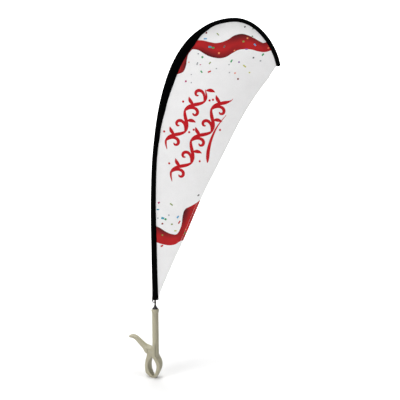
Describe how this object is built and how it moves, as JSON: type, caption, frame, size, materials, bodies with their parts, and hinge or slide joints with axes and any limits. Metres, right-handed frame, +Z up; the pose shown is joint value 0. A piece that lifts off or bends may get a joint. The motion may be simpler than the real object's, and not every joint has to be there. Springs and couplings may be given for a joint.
{
  "type": "teardrop flag on spring clamp",
  "caption": "Small teardrop advertising flag whose bent pole turns in the tube socket of a spring clamp that grips a rail or tabletop edge.",
  "frame": {"origin": "between the two jaw lips where they meet, halfway up the lips and halfway across the jaws", "axes": "+Z up along the socket tube, +X towards the flag's free corner, -Y towards the flag's printed front"},
  "size_m": [0.4426, 0.061, 1.0535],
  "materials": {
    "clamp_plastic": "beige-khaki moulded plastic, satin",
    "steel": "bright zinc-plated",
    "dark_steel": "dark brown-black lacquer",
    "ferrule_steel": "bright nickel plating",
    "black_plastic": "black moulded plastic",
    "pole_rod": "black pultruded glass-fibre rod",
    "black_cloth": "black woven polyester",
    "printed_cloth": "white knitted polyester with a red print"
  },
  "bodies": {
    "clamp": {"socket_handle": "clamp_plastic", "pivot_pin": "steel", "pivot_cover_front": "clamp_plastic", "pivot_cover_rear": "clamp_plastic", "spring_coil": "steel", "thrust_washer": "steel", "snap_ring": "steel"},
    "lever": {"lever_jaw": "clamp_plastic", "spring_leg": "steel"},
    "swivel": {"lower_bush": "black_plastic", "spacer_tube": "pole_rod", "cone_bush": "black_plastic"},
    "pole": {"pole_foot": "dark_steel", "lower_section": "pole_rod", "middle_section": "pole_rod", "tip_section": "pole_rod", "tip_cap": "black_plastic", "lower_ferrule": "ferrule_steel", "upper_ferrule": "ferrule_steel", "hook_collar": "dark_steel", "tension_ring": "ferrule_steel", "webbing_loop": "black_cloth", "sleeve": "black_cloth", "sleeve_cuff": "black_cloth", "tip_pocket": "black_cloth", "flag_panel": "printed_cloth", "trailing_hem": "printed_cloth"}
  },
  "joints": [
    {"name": "lever_squeeze", "type": "hinge", "parent": "clamp", "child": "lever", "pos_m": [-0.00227, 0.00106, 0.07975], "axis": [0.4226, 0.9063, 0], "range_deg": [0, 28], "stiffness_Nm_per_rad": 1.5, "springref_deg": -17.19},
    {"name": "flag_spin", "type": "hinge", "parent": "clamp", "child": "swivel", "pos_m": [0.00634, -0.00296, 0.2], "axis": [0, 0, 1], "continuous": true},
    {"name": "pole_lift", "type": "slide", "parent": "swivel", "child": "pole", "axis": [0, 0, 1], "range_m": [0, 0.08]}
  ]
}
